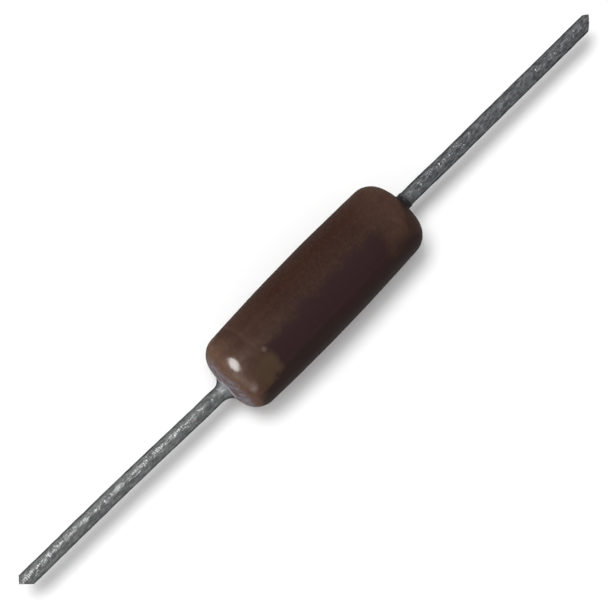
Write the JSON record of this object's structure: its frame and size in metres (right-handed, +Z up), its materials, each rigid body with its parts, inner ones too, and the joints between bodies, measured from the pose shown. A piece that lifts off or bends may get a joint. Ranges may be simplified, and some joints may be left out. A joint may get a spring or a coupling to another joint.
{
  "type": "wirewound resistor",
  "caption": "Axial wirewound power resistor: a ceramic rod wound with resistance wire between pressed end caps, under a brown coating, with a trimmed tinned wire lead at each end.",
  "frame": {"origin": "under the middle of the whole part, halfway between the two lead tips, on the surface that the body lies on", "axes": "+X along the body and its leads, towards the lead that points to the picture's upper right; +Z up, away from the surface that it lies on; +Y to the picture's upper left"},
  "size_m": [0.0428, 0.0048, 0.0048],
  "materials": {
    "brown_coating": "dark brown silicone coating, satin, slightly uneven",
    "tinned_lead": "hot-tinned copper wire, dull and blotchy",
    "cap_metal": "pressed stainless steel, satin",
    "ceramic": "fired ceramic, unglazed",
    "resistance_alloy": "drawn nickel-chrome wire, slightly oxidised"
  },
  "bodies": {
    "root": {"coating": "brown_coating", "lead_left": "tinned_lead", "lead_right": "tinned_lead", "end_cap_left": "cap_metal", "end_cap_right": "cap_metal", "ceramic_core": "ceramic", "resistance_wire": "resistance_alloy"}
  },
  "joints": []
}
